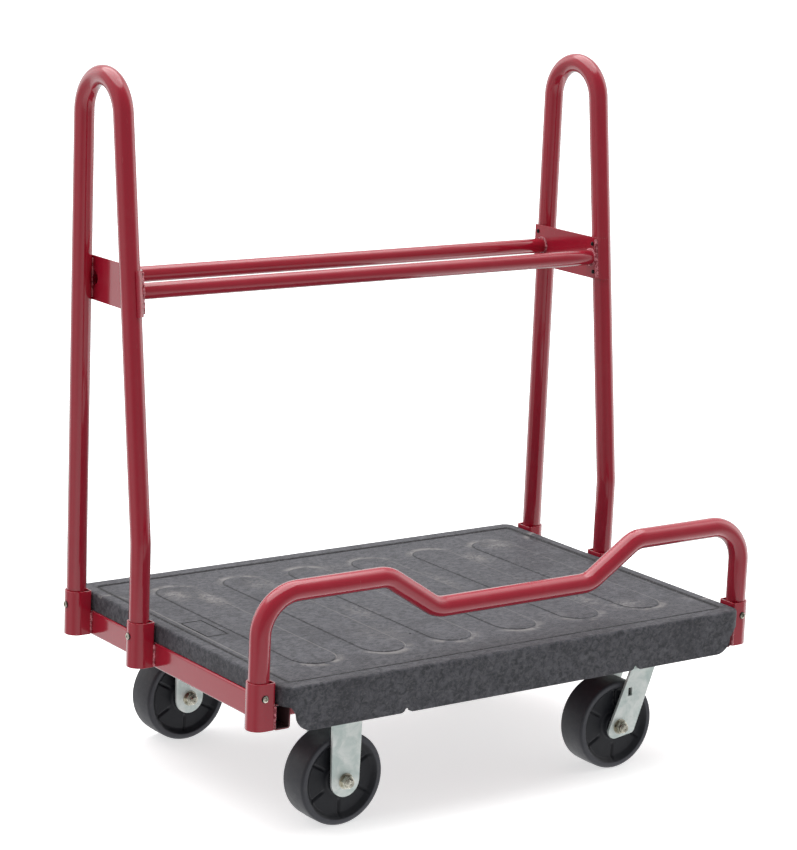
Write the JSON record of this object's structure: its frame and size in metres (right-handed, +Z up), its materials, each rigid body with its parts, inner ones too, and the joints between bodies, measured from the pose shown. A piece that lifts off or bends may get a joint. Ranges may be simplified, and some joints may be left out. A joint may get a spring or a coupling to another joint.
{
  "type": "platform cart",
  "caption": "Platform cart: moulded plastic deck on a steel base, tubular end uprights joined by crossbars, a dipped front rail, and rigid and swivel casters.",
  "frame": {"origin": "on the floor, below the middle of the cart's outline", "axes": "+X along the deck towards the swivel casters, +Y towards the tall uprights, +Z up"},
  "size_m": [1.0052, 0.647, 1.1447],
  "materials": {
    "deck_plastic": "dark grey structural foam with a fine moulded grain and pale scuffs",
    "red_paint": "glossy red powder coat",
    "zinc_plate": "bright zinc plating, faintly mottled",
    "bright_steel": "zinc-plated fasteners and bearing steel",
    "wheel_rubber": "dark grey hard rubber with a moulded satin surface",
    "black_oxide": "black oxide screws"
  },
  "bodies": {
    "root": {"deck": "deck_plastic", "end_member_left": "red_paint", "end_member_right": "red_paint", "side_member_front": "red_paint", "side_member_rear": "red_paint", "socket_front_left": "red_paint", "socket_middle_left": "red_paint", "socket_rear_left": "red_paint", "socket_front_right": "red_paint", "socket_middle_right": "red_paint", "socket_rear_right": "red_paint", "socket_screws": "bright_steel", "deck_screws": "zinc_plate", "upright_left": "red_paint", "upright_right": "red_paint", "bracket_left": "red_paint", "bracket_right": "red_paint", "bracket_screws": "black_oxide", "crossbar_front": "red_paint", "crossbar_rear": "red_paint", "front_rail": "red_paint", "rigid_fork_front": "zinc_plate", "rigid_bush_front": "bright_steel", "rigid_axle_front": "bright_steel", "rigid_nut_front": "bright_steel", "rigid_plate_bolts_front": "zinc_plate", "rigid_fork_rear": "zinc_plate", "rigid_bush_rear": "bright_steel", "rigid_axle_rear": "bright_steel", "rigid_nut_rear": "bright_steel", "rigid_plate_bolts_rear": "zinc_plate", "swivel_plate_front": "zinc_plate", "swivel_kingpin_front": "bright_steel", "swivel_balls_front": "bright_steel", "swivel_plate_bolts_front": "zinc_plate", "swivel_plate_rear": "zinc_plate", "swivel_kingpin_rear": "bright_steel", "swivel_balls_rear": "bright_steel", "swivel_plate_bolts_rear": "zinc_plate"},
    "rigid_wheel_front_unit": {"rigid_wheel_front": "wheel_rubber", "rigid_bearing_front": "bright_steel"},
    "rigid_wheel_rear_unit": {"rigid_wheel_rear": "wheel_rubber", "rigid_bearing_rear": "bright_steel"},
    "swivel_front_unit": {"swivel_fork_front": "zinc_plate", "swivel_bush_front": "bright_steel", "swivel_axle_front": "bright_steel", "swivel_nut_front": "bright_steel"},
    "swivel_wheel_front_unit": {"swivel_wheel_front": "wheel_rubber", "swivel_bearing_front": "bright_steel"},
    "swivel_rear_unit": {"swivel_fork_rear": "zinc_plate", "swivel_bush_rear": "bright_steel", "swivel_axle_rear": "bright_steel", "swivel_nut_rear": "bright_steel"},
    "swivel_wheel_rear_unit": {"swivel_wheel_rear": "wheel_rubber", "swivel_bearing_rear": "bright_steel"}
  },
  "joints": [
    {"name": "rigid_wheel_front_spin", "type": "hinge", "parent": "root", "child": "rigid_wheel_front_unit", "pos_m": [-0.306, -0.234, 0.0762], "axis": [0, 1, 0], "continuous": true},
    {"name": "swivel_front_turn", "type": "hinge", "parent": "root", "child": "swivel_front_unit", "pos_m": [0.306, -0.234, 0.177], "axis": [0, 0, 1], "continuous": true},
    {"name": "swivel_wheel_front_spin", "type": "hinge", "parent": "swivel_front_unit", "child": "swivel_wheel_front_unit", "pos_m": [0.248, -0.234, 0.0762], "axis": [0, 1, 0], "continuous": true},
    {"name": "rigid_wheel_rear_spin", "type": "hinge", "parent": "root", "child": "rigid_wheel_rear_unit", "pos_m": [-0.306, 0.234, 0.0762], "axis": [0, 1, 0], "continuous": true},
    {"name": "swivel_rear_turn", "type": "hinge", "parent": "root", "child": "swivel_rear_unit", "pos_m": [0.306, 0.234, 0.177], "axis": [0, 0, 1], "continuous": true},
    {"name": "swivel_wheel_rear_spin", "type": "hinge", "parent": "swivel_rear_unit", "child": "swivel_wheel_rear_unit", "pos_m": [0.248, 0.234, 0.0762], "axis": [0, 1, 0], "continuous": true}
  ]
}
